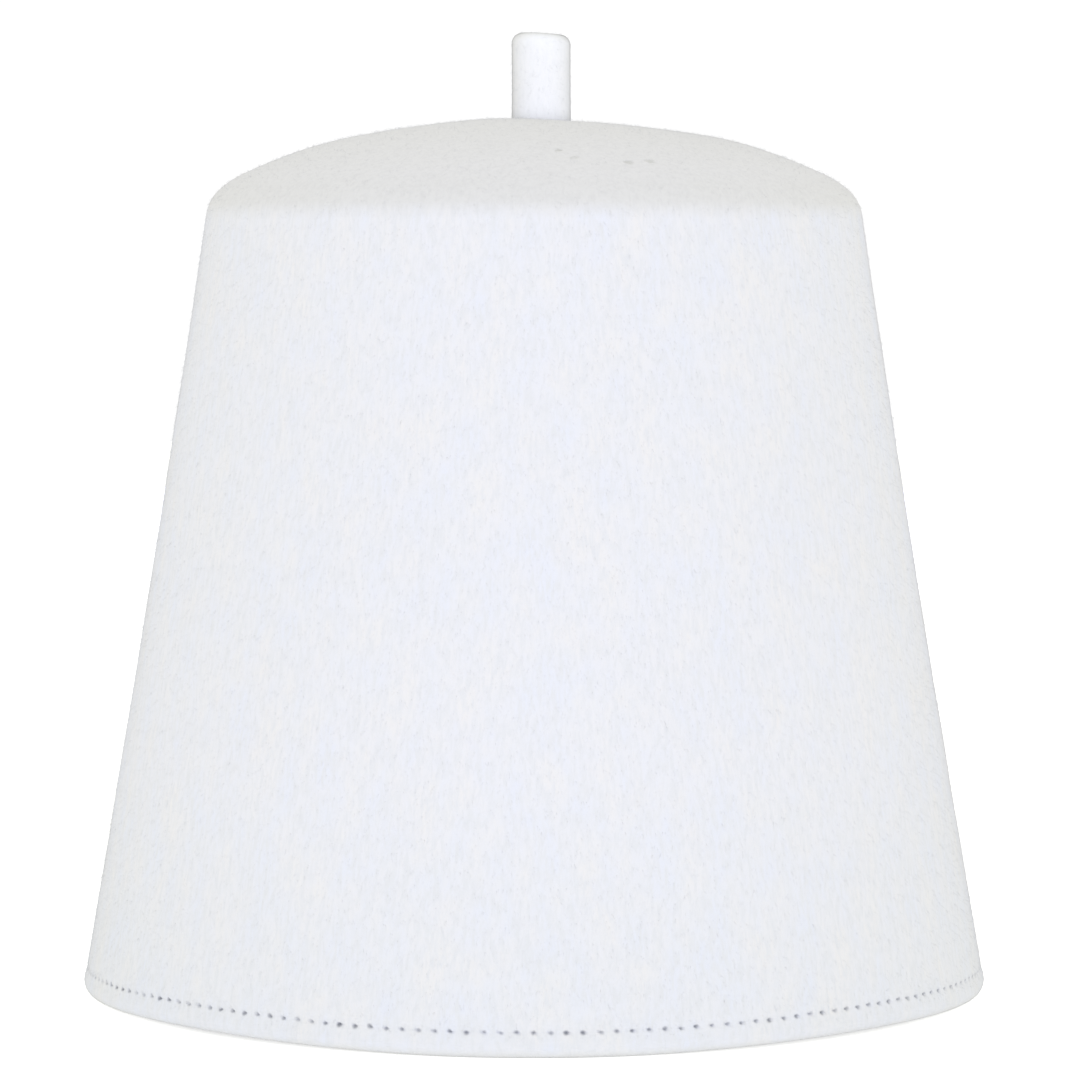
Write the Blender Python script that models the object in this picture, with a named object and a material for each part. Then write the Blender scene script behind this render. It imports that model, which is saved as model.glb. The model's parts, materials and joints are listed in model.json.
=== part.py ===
# A plain felt fez: one blocked felt cap with a turned-in, sewn lower edge, and a short felt stem on its crown.
# Metres, +Z up, the rim rests on Z = 0, the front of the hat faces -Y and the hat's axis is the Z axis.

import math

import bmesh
import bpy

# Driving sizes of the cap, in metres.
WALL_FOOT_RADIUS = 0.0883      # side-to-side half width of the wall where the hem's crease runs
OVAL_RATIO = 1.08              # a head is longer than it is wide: front-to-back over side-to-side
PLAN_FULLNESS = 0.003          # the oval is a little fuller at front, back and sides than between them
CAP_HEIGHT = 0.1711            # from the resting plane to the middle of the crown
WALL_SLOPE = math.radians(80.75)   # the wall's angle to the ground
WALL_HOLLOW = 0.0005           # how far the wall dips in, halfway up, from a straight cone
FELT = 0.0022                  # thickness of the felt

# The crown's profile: four arcs from the middle outward, each tighter than the one before.
CROWN_RADIUS = 0.1775
CROWN_END = math.radians(11.3)
FALL_RADIUS = 0.0915
FALL_END = math.radians(26.1)
SHOULDER_RADIUS = 0.0203
SHOULDER_END = math.radians(42.0)
EDGE_RADIUS = 0.0081

# The hem: the felt is folded inward at the lower edge and sewn down.
CREASE_HEIGHT = 0.0047         # the row of sewing pulls a shallow crease in here
CREASE_DEPTH = 0.0002
HEM_BULGE = 0.0006             # how far the fold stands out past the wall's foot
FOLD_HEIGHT = 0.0022           # height of the fold's widest line
TURN_IN_HEIGHT = 0.0080        # how far up inside the turned-in edge reaches
TURN_IN_THICKNESS = 0.0021
TURN_IN_ROUND = 0.0006         # rounding of the turned-in felt's cut edge
SEAT_OUTER = 0.0011            # the flat resting band starts this far in from the wall's foot
SEAT_WIDTH = 0.0016

# The stem.
STEM_RADIUS = 0.0057
STEM_RISE = 0.0172             # how far it stands above the crown
STEM_OFFSET = 0.0014           # it is sewn on a little to the wearer's left, +X
STEM_TOP_ROUND = 0.0018
STEM_TOP_DOME = 0.0004
STEM_GAP = 0.0003              # clear gap under the stem

# Fineness.
CAP_STEPS = 72
WALL_RINGS = 6
FOLD_RINGS = 4
STEM_STEPS = 36
STEM_RINGS = 5
STEM_ROUND_RINGS = 4


def clear_scene():
    for item in list(bpy.data.objects):
        bpy.data.objects.remove(item, do_unlink=True)


def felt_material(name, colour, roughness):
    material = bpy.data.materials.new(name)
    material.use_nodes = True
    shader = material.node_tree.nodes["Principled BSDF"]
    shader.inputs["Base Color"].default_value = (*colour, 1.0)
    shader.inputs["Roughness"].default_value = roughness
    shader.inputs["Metallic"].default_value = 0.0
    return material


def crown_arcs():
    """The four arcs of the crown as named values: radius, start angle, end angle, number of steps."""
    return (
        {"radius": CROWN_RADIUS, "start": 0.0, "end": CROWN_END, "steps": 3},
        {"radius": FALL_RADIUS, "start": CROWN_END, "end": FALL_END, "steps": 3},
        {"radius": SHOULDER_RADIUS, "start": FALL_END, "end": SHOULDER_END, "steps": 2},
        {"radius": EDGE_RADIUS, "start": SHOULDER_END, "end": WALL_SLOPE, "steps": 4},
    )


def crown_profile():
    """Points of the crown from its middle to the top of the wall, each with the surface's slope angle there."""
    reach = 0.0
    height = CAP_HEIGHT
    points = [(reach, height, 0.0)]
    for arc in crown_arcs():
        start_reach = reach
        start_height = height
        for step in range(1, arc["steps"] + 1):
            slope = arc["start"] + (arc["end"] - arc["start"]) * step / arc["steps"]
            reach = start_reach + arc["radius"] * (math.sin(slope) - math.sin(arc["start"]))
            height = start_height - arc["radius"] * (math.cos(arc["start"]) - math.cos(slope))
            points.append((reach, height, slope))
    return points


def wall_radius(height, top):
    """Outer radius of the wall at a height, below the point where the crown's edge ends."""
    top_radius, top_height, _ = top
    share = (height - CREASE_HEIGHT) / (top_height - CREASE_HEIGHT)
    straight = WALL_FOOT_RADIUS + (top_radius - WALL_FOOT_RADIUS) * share
    hollow = WALL_HOLLOW * math.sin(math.pi * share)
    return straight - max(hollow, 0.0)


def outer_profile():
    """Outside of the cap as (radius, height) from the middle of the crown down to the resting band."""
    crown = crown_profile()
    top = crown[-1]
    points = [(reach, height) for reach, height, _ in crown]
    for ring in range(1, WALL_RINGS + 1):
        height = top[1] + (2.0 * CREASE_HEIGHT - top[1]) * ring / WALL_RINGS
        points.append((wall_radius(height, top), height))
    points.append((WALL_FOOT_RADIUS - CREASE_DEPTH, CREASE_HEIGHT))
    # The fold below the crease is a soft half round from the crease, past its widest line, to the seat.
    widest = WALL_FOOT_RADIUS + HEM_BULGE
    seat_edge = WALL_FOOT_RADIUS - SEAT_OUTER
    upper = CREASE_HEIGHT - FOLD_HEIGHT
    for step in range(1, FOLD_RINGS):
        turn = 0.5 * math.pi * step / (FOLD_RINGS - 1)
        reach = WALL_FOOT_RADIUS + HEM_BULGE * math.sin(turn)
        points.append((reach, FOLD_HEIGHT + upper * math.cos(turn)))
    for step in range(1, FOLD_RINGS + 1):
        turn = 0.5 * math.pi * step / FOLD_RINGS
        reach = seat_edge + (widest - seat_edge) * math.cos(turn)
        points.append((reach, FOLD_HEIGHT * (1.0 - math.sin(turn))))
    return points


def inner_profile():
    """Inside of the cap from the resting band, over the turned-in edge, up to the middle of the crown."""
    crown = crown_profile()
    top = crown[-1]
    seat_inner = WALL_FOOT_RADIUS - SEAT_OUTER - SEAT_WIDTH
    ply_top = wall_radius(TURN_IN_HEIGHT, top) - FELT
    ply_face = WALL_FOOT_RADIUS - FELT - TURN_IN_THICKNESS
    points = [(seat_inner, 0.0)]
    points.append((0.5 * (seat_inner + ply_face), 0.25 * FOLD_HEIGHT))
    points.append((ply_face, FOLD_HEIGHT))
    points.append((ply_face, TURN_IN_HEIGHT - TURN_IN_ROUND))
    points.append((ply_face + TURN_IN_ROUND, TURN_IN_HEIGHT))
    points.append((ply_top, TURN_IN_HEIGHT + TURN_IN_ROUND))
    wall_top_height = top[1] - FELT * math.cos(top[2])
    for ring in range(1, WALL_RINGS):
        height = TURN_IN_HEIGHT + (wall_top_height - TURN_IN_HEIGHT) * ring / WALL_RINGS
        points.append((wall_radius(height, top) - FELT, height))
    for reach, height, slope in reversed(crown):
        inside = max(reach - FELT * math.sin(slope), 0.0)
        points.append((inside, height - FELT * math.cos(slope)))
    return points


def plan_factor(angle):
    """How much fuller or leaner than a plain ellipse the plan is at an angle round the hat."""
    return (1.0 + PLAN_FULLNESS * math.cos(4.0 * angle)) / (1.0 + PLAN_FULLNESS)


def shape_plan(mesh):
    """Turn the round body into the head's oval."""
    for vert in mesh.verts:
        angle = math.atan2(vert.co.x, -vert.co.y)
        factor = plan_factor(angle)
        vert.co.x *= factor
        vert.co.y *= factor * OVAL_RATIO


def crown_height_at(x, y):
    """Height of the crown's outer face over a place near the middle."""
    reach = math.hypot(x, y / OVAL_RATIO)
    return CAP_HEIGHT - CROWN_RADIUS + math.sqrt(CROWN_RADIUS ** 2 - reach ** 2)


def finish_object(name, mesh_work, material, edge_angle):
    """Store the working mesh as a named object with outward faces and smooth shading."""
    bmesh.ops.remove_doubles(mesh_work, verts=mesh_work.verts, dist=0.00001)
    bmesh.ops.recalc_face_normals(mesh_work, faces=mesh_work.faces)
    mesh = bpy.data.meshes.new(name)
    mesh_work.to_mesh(mesh)
    mesh_work.free()
    mesh.shade_smooth()
    mesh.set_sharp_from_angle(angle=edge_angle)
    mesh.materials.append(material)
    item = bpy.data.objects.new(name, mesh)
    bpy.context.scene.collection.objects.link(item)
    return item


def spun_body(profile, steps):
    """Spin an open profile, given as (radius, height) points that start and end on the axis, all the way round."""
    work = bmesh.new()
    verts = [work.verts.new((0.0, -reach, height)) for reach, height in profile]
    edges = [work.edges.new(pair) for pair in zip(verts[:-1], verts[1:])]
    bmesh.ops.spin(
        work,
        geom=verts + edges,
        cent=(0.0, 0.0, 0.0),
        axis=(0.0, 0.0, 1.0),
        angle=2.0 * math.pi,
        steps=steps,
        use_duplicate=False,
    )
    bmesh.ops.remove_doubles(work, verts=work.verts, dist=0.00001)
    return work


def build_felt_cap(material):
    work = spun_body(outer_profile() + inner_profile(), CAP_STEPS)
    shape_plan(work)
    return finish_object("felt_cap", work, material, math.radians(50.0))


def stem_profile():
    """The stem from the middle of its foot, up its side and over its softly rounded top."""
    points = [(0.0, 0.0), (0.5 * STEM_RADIUS, 0.0), (STEM_RADIUS, 0.0)]
    shoulder = STEM_RISE - STEM_TOP_ROUND
    for ring in range(1, STEM_RINGS + 1):
        points.append((STEM_RADIUS, shoulder * ring / STEM_RINGS))
    flat_reach = STEM_RADIUS - STEM_TOP_ROUND
    for step in range(1, STEM_ROUND_RINGS + 1):
        turn = 0.5 * math.pi * step / STEM_ROUND_RINGS
        reach = flat_reach + STEM_TOP_ROUND * math.cos(turn)
        points.append((reach, shoulder + STEM_TOP_ROUND * math.sin(turn)))
    points.append((0.5 * flat_reach, STEM_RISE + 0.75 * STEM_TOP_DOME))
    points.append((0.0, STEM_RISE + STEM_TOP_DOME))
    return points


def build_stem(material):
    """The foot follows the crown's curve all over, a clear gap above it, and the top is level."""
    work = spun_body(stem_profile(), STEM_STEPS)
    base = crown_height_at(0.0, 0.0) + STEM_GAP
    for vert in work.verts:
        foot_share = 1.0 - min(vert.co.z / (0.5 * STEM_RISE), 1.0)
        vert.co.x += STEM_OFFSET
        drop = crown_height_at(vert.co.x, vert.co.y) + STEM_GAP - base
        vert.co.z += base + drop * foot_share
    return finish_object("stem", work, material, math.radians(50.0))


clear_scene()
wool_felt = felt_material("white_wool_felt", (0.86, 0.87, 0.90), 0.95)
stem_felt = felt_material("stem_felt", (0.88, 0.89, 0.92), 0.95)
build_felt_cap(wool_felt)
build_stem(stem_felt)
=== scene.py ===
# %% [markdown]
# A white felt fez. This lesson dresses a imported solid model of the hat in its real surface: blocked wool felt
# with a folded, machine-sewn lower edge, one row of thread round the hem, and a short felt stem on the crown.
# Everything is in metres. The hat stands on Z = 0, its axis is the Z axis, and its front faces -Y.

# %% Load the solid model as the frame
import json
import math

import bpy
from mathutils import Matrix, Vector

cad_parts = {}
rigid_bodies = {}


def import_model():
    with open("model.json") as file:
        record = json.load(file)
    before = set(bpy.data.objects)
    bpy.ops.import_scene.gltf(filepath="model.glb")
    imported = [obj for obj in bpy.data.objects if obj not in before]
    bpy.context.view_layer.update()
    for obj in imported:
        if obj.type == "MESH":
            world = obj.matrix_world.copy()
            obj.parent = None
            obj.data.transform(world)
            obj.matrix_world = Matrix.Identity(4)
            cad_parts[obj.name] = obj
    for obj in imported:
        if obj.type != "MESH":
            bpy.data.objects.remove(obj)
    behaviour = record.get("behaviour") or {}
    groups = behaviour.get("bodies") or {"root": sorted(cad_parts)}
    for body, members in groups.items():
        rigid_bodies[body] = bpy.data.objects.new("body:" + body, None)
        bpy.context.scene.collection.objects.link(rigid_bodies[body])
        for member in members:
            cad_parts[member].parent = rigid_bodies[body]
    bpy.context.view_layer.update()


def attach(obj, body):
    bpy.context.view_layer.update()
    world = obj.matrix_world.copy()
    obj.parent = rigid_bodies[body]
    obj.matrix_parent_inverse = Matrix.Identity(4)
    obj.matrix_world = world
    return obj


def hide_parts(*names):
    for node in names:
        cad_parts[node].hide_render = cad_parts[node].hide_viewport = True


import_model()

# %% [markdown]
# ## Sizes
# A hat is blocked over a form, so a few sizes give its whole shape: the oval of the head, the height of the
# crown, the slope of the wall and the four curves that lead over the crown's edge. They could be measured
# from the solid model, but named values are easier to change and to read, so they are written down here.

# %% Sizes of the felt cap
WALL_FOOT = 0.0883             # half width of the wall at the sewn crease, side to side
OVAL = 1.08                    # front-to-back over side-to-side
FULLNESS = 0.003               # the oval is a touch fuller at front, back and sides
CAP_HEIGHT = 0.1711
FELT = 0.0022
WALL_SLOPE = math.radians(80.75)
WALL_HOLLOW = 0.0005           # the wall dips in this much halfway up

CROWN_ARCS = (
    {"radius": 0.1775, "end": math.radians(11.3), "steps": 12},
    {"radius": 0.0915, "end": math.radians(26.1), "steps": 7},
    {"radius": 0.0203, "end": math.radians(42.0), "steps": 5},
    {"radius": 0.0081, "end": WALL_SLOPE, "steps": 8},
)

# %% Sizes of the sewn hem
STITCHES = 184
COLUMNS_PER_STITCH = 4
COLUMNS = STITCHES * COLUMNS_PER_STITCH
CREASE_HEIGHT = 0.0047
CREASE_DEPTH = 0.00012
HEM_BULGE = 0.0006
FOLD_HEIGHT = 0.0020
TURN_IN_HEIGHT = 0.0080        # how far up inside the turned-in edge reaches
TURN_IN_FELT = 0.0021
CUT_ROUND = 0.0009             # the turned-in edge's cut is rounded this much
SEAM_PINCH = 0.00015           # the thread pulls the turned-in felt in this much
SEAM_SPREAD = 0.0010           # and this far above and below the row of thread
SEAT_OUTER = 0.0011
SEAT_WIDTH = 0.0016
print("stitch length at the front:", round(2.0 * math.pi * WALL_FOOT / STITCHES * 1000.0, 2), "mm")

# %% [markdown]
# ## Camera
# The photograph was taken with a long lens from about a metre away, a little above the hem and a little below
# the crown's edge: the hem shows as a shallow curve and the crown's edge as a straight line. The same
# place and lens give the same curves.

# %% Camera
CAMERA_DISTANCE = 0.987
CAMERA_HEIGHT = 0.14285
CAMERA_SIDE = 0.00116
CAMERA_PITCH = math.radians(3.18)
FOCAL_PIXELS = 5004.0
PICTURE_PIXELS = 1080.0
SENSOR = 36.0

camera_data = bpy.data.cameras.new("camera")
camera_data.sensor_width = SENSOR
camera_data.lens = FOCAL_PIXELS / PICTURE_PIXELS * SENSOR
camera_data.clip_start = 0.01
camera = bpy.data.objects.new("camera", camera_data)
camera.location = (CAMERA_SIDE, -CAMERA_DISTANCE, CAMERA_HEIGHT)
camera.rotation_euler = (math.radians(90.0) - CAMERA_PITCH, 0.0, 0.0)
bpy.context.scene.collection.objects.link(camera)
bpy.context.scene.camera = camera
print("lens", round(camera_data.lens, 1), "mm")

# %% [markdown]
# ## Floor and light
# White on white needs light from everywhere: a pale floor, a bright even surround, and two low, wide panels
# that stand on the floor in front and give the wall its cool tint, stronger near the hem. A single lamp would
# draw shadows that the photograph doesn't have. A third panel behind makes the back as cool as the front. The
# camera sees none of the panels. The floor glows more for the camera than for the hat, so it stays white
# right up to the hem and the felt above it isn't washed out.

# %% Small helpers
def nothing_selected():
    """Deselect everything, because an operator acts on all that is selected."""
    for item in bpy.context.view_layer.objects:
        item.select_set(False)


def edit_mode():
    bpy.ops.object.mode_set(mode="EDIT")


def object_mode():
    bpy.ops.object.mode_set(mode="OBJECT")


def only_selected(item):
    nothing_selected()
    item.select_set(True)
    bpy.context.view_layer.objects.active = item


def apply_all_modifiers(item):
    only_selected(item)
    for name in [modifier.name for modifier in item.modifiers]:
        bpy.ops.object.modifier_apply(modifier=name)


def triangles(item):
    return sum(len(face.vertices) - 2 for face in item.data.polygons)


# %% Helpers for node trees
def fill(node, inputs):
    """Fill inputs of a node, by name or number, each from a socket or with a plain value."""
    for key, value in inputs.items():
        if isinstance(value, bpy.types.NodeSocket):
            node.id_data.links.new(value, node.inputs[key])
        else:
            node.inputs[key].default_value = value
    return node


def add_node(tree, kind, inputs):
    return fill(tree.nodes.new(kind), inputs)


def maths(tree, operation, *values, clamp=False):
    node = tree.nodes.new("ShaderNodeMath")
    node.operation = operation
    node.use_clamp = clamp
    return fill(node, dict(enumerate(values))).outputs[0]


def vector_maths(tree, operation, *values):
    node = tree.nodes.new("ShaderNodeVectorMath")
    node.operation = operation
    outputs = fill(node, dict(enumerate(values))).outputs
    return outputs["Value"] if operation == "LENGTH" else outputs["Vector"]


def new_material(name):
    """A new material, with its node tree, its shader and the socket that gives the place on the object."""
    material = bpy.data.materials.new(name)
    material.use_nodes = True
    tree = material.node_tree
    place = tree.nodes.new("ShaderNodeTexCoord").outputs["Object"]
    return material, tree, tree.nodes["Principled BSDF"], place


# %% Floor
FLOOR_SIZE = 6.0
FLOOR_BOUNCE = 0.20            # the glow that lights the hat from below
FLOOR_SEEN = 0.60              # the glow that the camera sees, so that the floor stays white up to the hem

nothing_selected()
bpy.ops.mesh.primitive_plane_add(size=FLOOR_SIZE, location=(0.0, 0.0, 0.0))
floor = bpy.context.object
floor.name = "floor"
floor_material = bpy.data.materials.new("pale_floor")
floor_material.use_nodes = True
floor_tree = floor_material.node_tree
floor_seen = floor_tree.nodes.new("ShaderNodeLightPath").outputs["Is Camera Ray"]
floor_glow = maths(floor_tree, "MULTIPLY_ADD", floor_seen, FLOOR_SEEN - FLOOR_BOUNCE, FLOOR_BOUNCE)
fill(floor_tree.nodes["Principled BSDF"], {
    "Base Color": (0.90, 0.90, 0.90, 1.0),
    "Roughness": 0.8,
    "Specular IOR Level": 0.0,
    "Emission Color": (1.0, 1.0, 0.98, 1.0),
    "Emission Strength": floor_glow,
})
floor.data.materials.append(floor_material)

# %% Soft surround
SURROUND = 0.94                # brightness that lights the hat
SURROUND_COLOUR = (1.0, 1.0, 0.925, 1.0)
BACKDROP = 1.05                # brightness that the camera sees

world = bpy.data.worlds.new("studio")
bpy.context.scene.world = world
world.use_nodes = True
sky = world.node_tree
sky.nodes.clear()
sky_light = add_node(sky, "ShaderNodeBackground", {"Color": SURROUND_COLOUR, "Strength": SURROUND})
sky_seen = add_node(sky, "ShaderNodeBackground", {"Color": (1.0, 1.0, 1.0, 1.0), "Strength": BACKDROP})
sky_mix = add_node(sky, "ShaderNodeMixShader", {
    0: sky.nodes.new("ShaderNodeLightPath").outputs["Is Camera Ray"],
    1: sky_light.outputs[0],
    2: sky_seen.outputs[0],
})
add_node(sky, "ShaderNodeOutputWorld", {"Surface": sky_mix.outputs[0]})

bpy.context.scene.view_settings.view_transform = "Standard"
bpy.context.scene.view_settings.look = "None"
bpy.context.scene.view_settings.exposure = 0.0
bpy.context.scene.view_settings.gamma = 1.0

# %% Soft panels in front and behind
PANEL_WIDTH = 1.6
PANEL_HEIGHT = 0.6
PANEL_DISTANCE = 2.2
PANEL_CLEARANCE = 0.01         # between its lower edge and the floor
PANEL_POWER = 5.3
PANEL_SWING = math.radians(32.0)   # how far round to each side of the front the two panels stand
BACK_PANEL_POWER = 9.0         # it gives the middle of the back what the other two give the front's
PANEL_COLOUR = (0.51, 0.56, 1.0)


def soft_panel(name, azimuth, power, colour):
    """A low, wide area light that stands on the floor and faces the hat."""
    data = bpy.data.lights.new(name, "AREA")
    data.shape = "RECTANGLE"
    data.size = PANEL_WIDTH
    data.size_y = PANEL_HEIGHT
    data.energy = power
    data.color = colour
    lamp = bpy.data.objects.new(name, data)
    lamp.location = (
        PANEL_DISTANCE * math.sin(azimuth),
        -PANEL_DISTANCE * math.cos(azimuth),
        0.5 * PANEL_HEIGHT + PANEL_CLEARANCE,
    )
    lamp.rotation_euler = (math.radians(90.0), 0.0, azimuth)
    lamp.visible_camera = False
    bpy.context.scene.collection.objects.link(lamp)
    return lamp


for azimuth in (-PANEL_SWING, PANEL_SWING):
    soft_panel("front_panel", azimuth, PANEL_POWER, PANEL_COLOUR)
soft_panel("back_panel", math.pi, BACK_PANEL_POWER, PANEL_COLOUR)

# %% [markdown]
# ## The felt cap
# A fez is one sheet of wool felt, wetted, steamed and pulled over a wooden block, so it has no seams. Its
# profile could be spun round the axis, but the head is oval and the sewing needs evenly counted columns,
# so one ring of vertices is walked along the profile instead: extruded, scaled and lifted again and again,
# from the inside of the crown, down the inner wall, round the folded hem, up the outside and over the top.

# %% Profile of the crown
def crown_profile():
    """Points from the middle of the crown to the top of the wall: reach, height and the slope there."""
    reach = 0.0
    height = CAP_HEIGHT
    start = 0.0
    points = []
    for arc in CROWN_ARCS:
        from_reach = reach
        from_height = height
        for step in range(1, arc["steps"] + 1):
            slope = start + (arc["end"] - start) * step / arc["steps"]
            reach = from_reach + arc["radius"] * (math.sin(slope) - math.sin(start))
            height = from_height - arc["radius"] * (math.cos(start) - math.cos(slope))
            points.append((reach, height, slope))
        start = arc["end"]
    return points


def crown_height_at(x, y):
    """Height of the crown's outer face near its middle."""
    arc = CROWN_ARCS[0]["radius"]
    reach = math.hypot(x, y / OVAL)
    return CAP_HEIGHT - arc + math.sqrt(arc * arc - reach * reach)


crown = crown_profile()
WALL_TOP = crown[-1]
print("crown edge: half width", round(WALL_TOP[0], 4), "at height", round(WALL_TOP[1], 4))


# %% Profile of the wall and the hem
def wall_reach(height):
    """Half width of the outer wall at a height."""
    share = (height - CREASE_HEIGHT) / (WALL_TOP[1] - CREASE_HEIGHT)
    straight = WALL_FOOT + (WALL_TOP[0] - WALL_FOOT) * share
    return straight - max(WALL_HOLLOW * math.sin(math.pi * share), 0.0)


FOLD_RINGS = 6
FOLD_CURVE = 1.35              # 1 is a straight slope from the fold's widest line up to the crease
CREASE_RINGS = 5
CREASE_SPREAD = 0.0004         # height of the first ring above the crease; the next ones follow as squares
WALL_RINGS = 27
INNER_RINGS = 12
CORNER_RINGS = 3


def outer_path():
    """From the resting band, round the fold and up the outside to the middle of the crown."""
    seat_edge = WALL_FOOT - SEAT_OUTER
    widest = WALL_FOOT + HEM_BULGE
    in_crease = WALL_FOOT - CREASE_DEPTH
    path = [(seat_edge, 0.0)]
    for step in range(1, FOLD_RINGS + 1):
        turn = 0.5 * math.pi * step / FOLD_RINGS
        reach = seat_edge + (widest - seat_edge) * math.sin(turn)
        path.append((reach, FOLD_HEIGHT * (1.0 - math.cos(turn))))
    for step in range(1, FOLD_RINGS + 1):
        share = step / FOLD_RINGS
        reach = widest + (in_crease - widest) * share ** FOLD_CURVE
        path.append((reach, FOLD_HEIGHT + (CREASE_HEIGHT - FOLD_HEIGHT) * share))
    for step in range(1, CREASE_RINGS + 1):
        height = CREASE_HEIGHT + CREASE_SPREAD * step * step
        path.append((wall_reach(height), height))
    low = path[-1][1]
    for step in range(1, WALL_RINGS):
        height = low + (WALL_TOP[1] - low) * step / WALL_RINGS
        path.append((wall_reach(height), height))
    path.extend((reach, height) for reach, height, slope in reversed(crown))
    return path


def inner_path():
    """From the middle of the crown's underside down the inner wall and over the turned-in edge."""
    path = []
    for reach, height, slope in crown:
        path.append((reach - FELT * math.sin(slope), height - FELT * math.cos(slope)))
    top = path[-1][1]
    for step in range(1, INNER_RINGS + 1):
        height = top + (TURN_IN_HEIGHT + CUT_ROUND - top) * step / INNER_RINGS
        path.append((wall_reach(height) - FELT, height))
    ply = WALL_FOOT - FELT - TURN_IN_FELT
    for step in range(CORNER_RINGS + 1):
        turn = 0.5 * math.pi * step / CORNER_RINGS
        height = TURN_IN_HEIGHT - CUT_ROUND * (1.0 - math.cos(turn))
        path.append((ply + CUT_ROUND * (1.0 - math.sin(turn)), height))
    path.append((ply, CREASE_HEIGHT + SEAM_SPREAD))
    path.append((ply + SEAM_PINCH, CREASE_HEIGHT))
    path.append((ply, CREASE_HEIGHT - SEAM_SPREAD))
    seat_inner = WALL_FOOT - SEAT_OUTER - SEAT_WIDTH
    for step in range(1, CORNER_RINGS + 1):
        turn = 0.5 * math.pi * step / CORNER_RINGS
        reach = seat_inner - (seat_inner - ply) * math.cos(turn)
        path.append((reach, FOLD_HEIGHT * (1.0 - math.sin(turn))))
    return path


cap_path = inner_path() + outer_path()
print("rings:", len(cap_path), "triangles about", len(cap_path) * COLUMNS * 2)


# %% Walk one ring of vertices along the profile
def walk_ring(name, columns, path):
    """Extrude a ring of vertices along a path of reaches and heights, and close it at the path's end."""
    nothing_selected()
    reach, height = path[0]
    bpy.ops.mesh.primitive_circle_add(vertices=columns, radius=reach, location=(0.0, 0.0, height))
    item = bpy.context.object
    item.name = name
    bpy.ops.object.transform_apply(location=True, rotation=True, scale=True)
    edit_mode()
    bpy.ops.mesh.select_all(action="SELECT")
    for new_reach, new_height in path[1:]:
        scale = new_reach / reach
        bpy.ops.mesh.extrude_region_move()
        bpy.ops.transform.resize(value=(scale, scale, 1.0), center_override=(0.0, 0.0, 0.0))
        bpy.ops.transform.translate(value=(0.0, 0.0, new_height - height))
        reach, height = new_reach, new_height
    bpy.ops.mesh.extrude_region_move()
    bpy.ops.mesh.merge(type="CENTER")
    object_mode()
    return item


felt_cap = walk_ring("felt_cap_surface", COLUMNS, cap_path)
print("felt cap:", triangles(felt_cap), "triangles")


# %% Close the underside of the crown and turn all faces outward
SAME_PLACE = 0.00001           # places closer than this are one


def select_where(item, test):
    """Select the vertices whose place passes a test, and leave the mesh in edit mode."""
    only_selected(item)
    edit_mode()
    bpy.ops.mesh.select_mode(type="VERT")
    bpy.ops.mesh.select_all(action="DESELECT")
    object_mode()
    count = 0
    for vert in item.data.vertices:
        vert.select = test(vert.co)
        count += vert.select
    edit_mode()
    return count


tip_reach, tip_height = cap_path[0]
ring_size = select_where(
    felt_cap,
    lambda co: co.xy.length < tip_reach + SAME_PLACE and abs(co.z - tip_height) < SAME_PLACE,
)
bpy.ops.mesh.extrude_region_move()
bpy.ops.mesh.merge(type="CENTER")
bpy.ops.mesh.select_all(action="SELECT")
bpy.ops.mesh.normals_make_consistent(inside=False)
object_mode()
print("inner ring of", ring_size, "vertices closed")

# %% [markdown]
# ## Coordinates for the sewing
# The needle holes must sit on the columns of the mesh, whatever the felt does later. A UV map that counts
# columns round the hat and millimetres along the profile follows the surface, where object coordinates would
# stay behind. U grows by one for each stitch, and V is the height in millimetres.

# %% UV map of columns and heights
def column_at(co):
    """Which column, counted from the front, a place lies on."""
    return (math.atan2(co.x, -co.y) / (2.0 * math.pi) * COLUMNS) % COLUMNS


sewing_map = felt_cap.data.uv_layers.new(name="sewing")
for face in felt_cap.data.polygons:
    middle = column_at(face.center)
    for loop_index in face.loop_indices:
        co = felt_cap.data.vertices[felt_cap.data.loops[loop_index].vertex_index].co
        column = column_at(co)
        if column - middle > COLUMNS / 2:
            column -= COLUMNS
        if middle - column > COLUMNS / 2:
            column += COLUMNS
        sewing_map.data[loop_index].uv = (column / COLUMNS_PER_STITCH, co.z * 1000.0)
print("sewing map made for", len(felt_cap.data.polygons), "faces")

# %% Press the needle holes into the crease
CREASE_REACH = WALL_FOOT - CREASE_DEPTH
HOLE_DEPTH = 0.00055
HOLE_WANDER = 0.00016
SAME_COLUMN = 0.01


def on_needle_hole(co):
    if abs(co.z - CREASE_HEIGHT) > SAME_PLACE or abs(co.xy.length - CREASE_REACH) > 2.0 * SAME_PLACE:
        return False
    column = column_at(co)
    return abs(column - COLUMNS_PER_STITCH * round(column / COLUMNS_PER_STITCH)) < SAME_COLUMN


holes = select_where(felt_cap, on_needle_hole)
object_mode()
hole_indices = [vert.index for vert in felt_cap.data.vertices if vert.select]
edit_mode()
bpy.ops.transform.shrink_fatten(value=-HOLE_DEPTH)
bpy.ops.transform.vertex_random(offset=HOLE_WANDER, seed=5)
object_mode()
print("needle holes:", holes)

# %% [markdown]
# ## The oval and the soft unevenness of felt
# The round body becomes a head's oval with one scale. Felt never sits perfectly true, so the lower edge is
# pulled up a hair between front and side, with a soft falloff as a hat maker's hands would. The crown has
# settled by half a millimetre or so in a few places round the stem. Last, a faint cloud pattern moves the
# wall by up to a quarter of a millimetre. Each of these could be sculpted by hand, but a few named pulls
# are easy to change.

# %% Make the body oval
only_selected(felt_cap)
edit_mode()
bpy.ops.mesh.select_all(action="SELECT")
bpy.ops.transform.resize(value=(1.0, OVAL, 1.0), center_override=(0.0, 0.0, 0.0))
object_mode()
for vert in felt_cap.data.vertices:
    angle = math.atan2(vert.co.x, -vert.co.y / OVAL)
    factor = (1.0 + FULLNESS * math.cos(4.0 * angle)) / (1.0 + FULLNESS)
    vert.co.x *= factor
    vert.co.y *= factor

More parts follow.
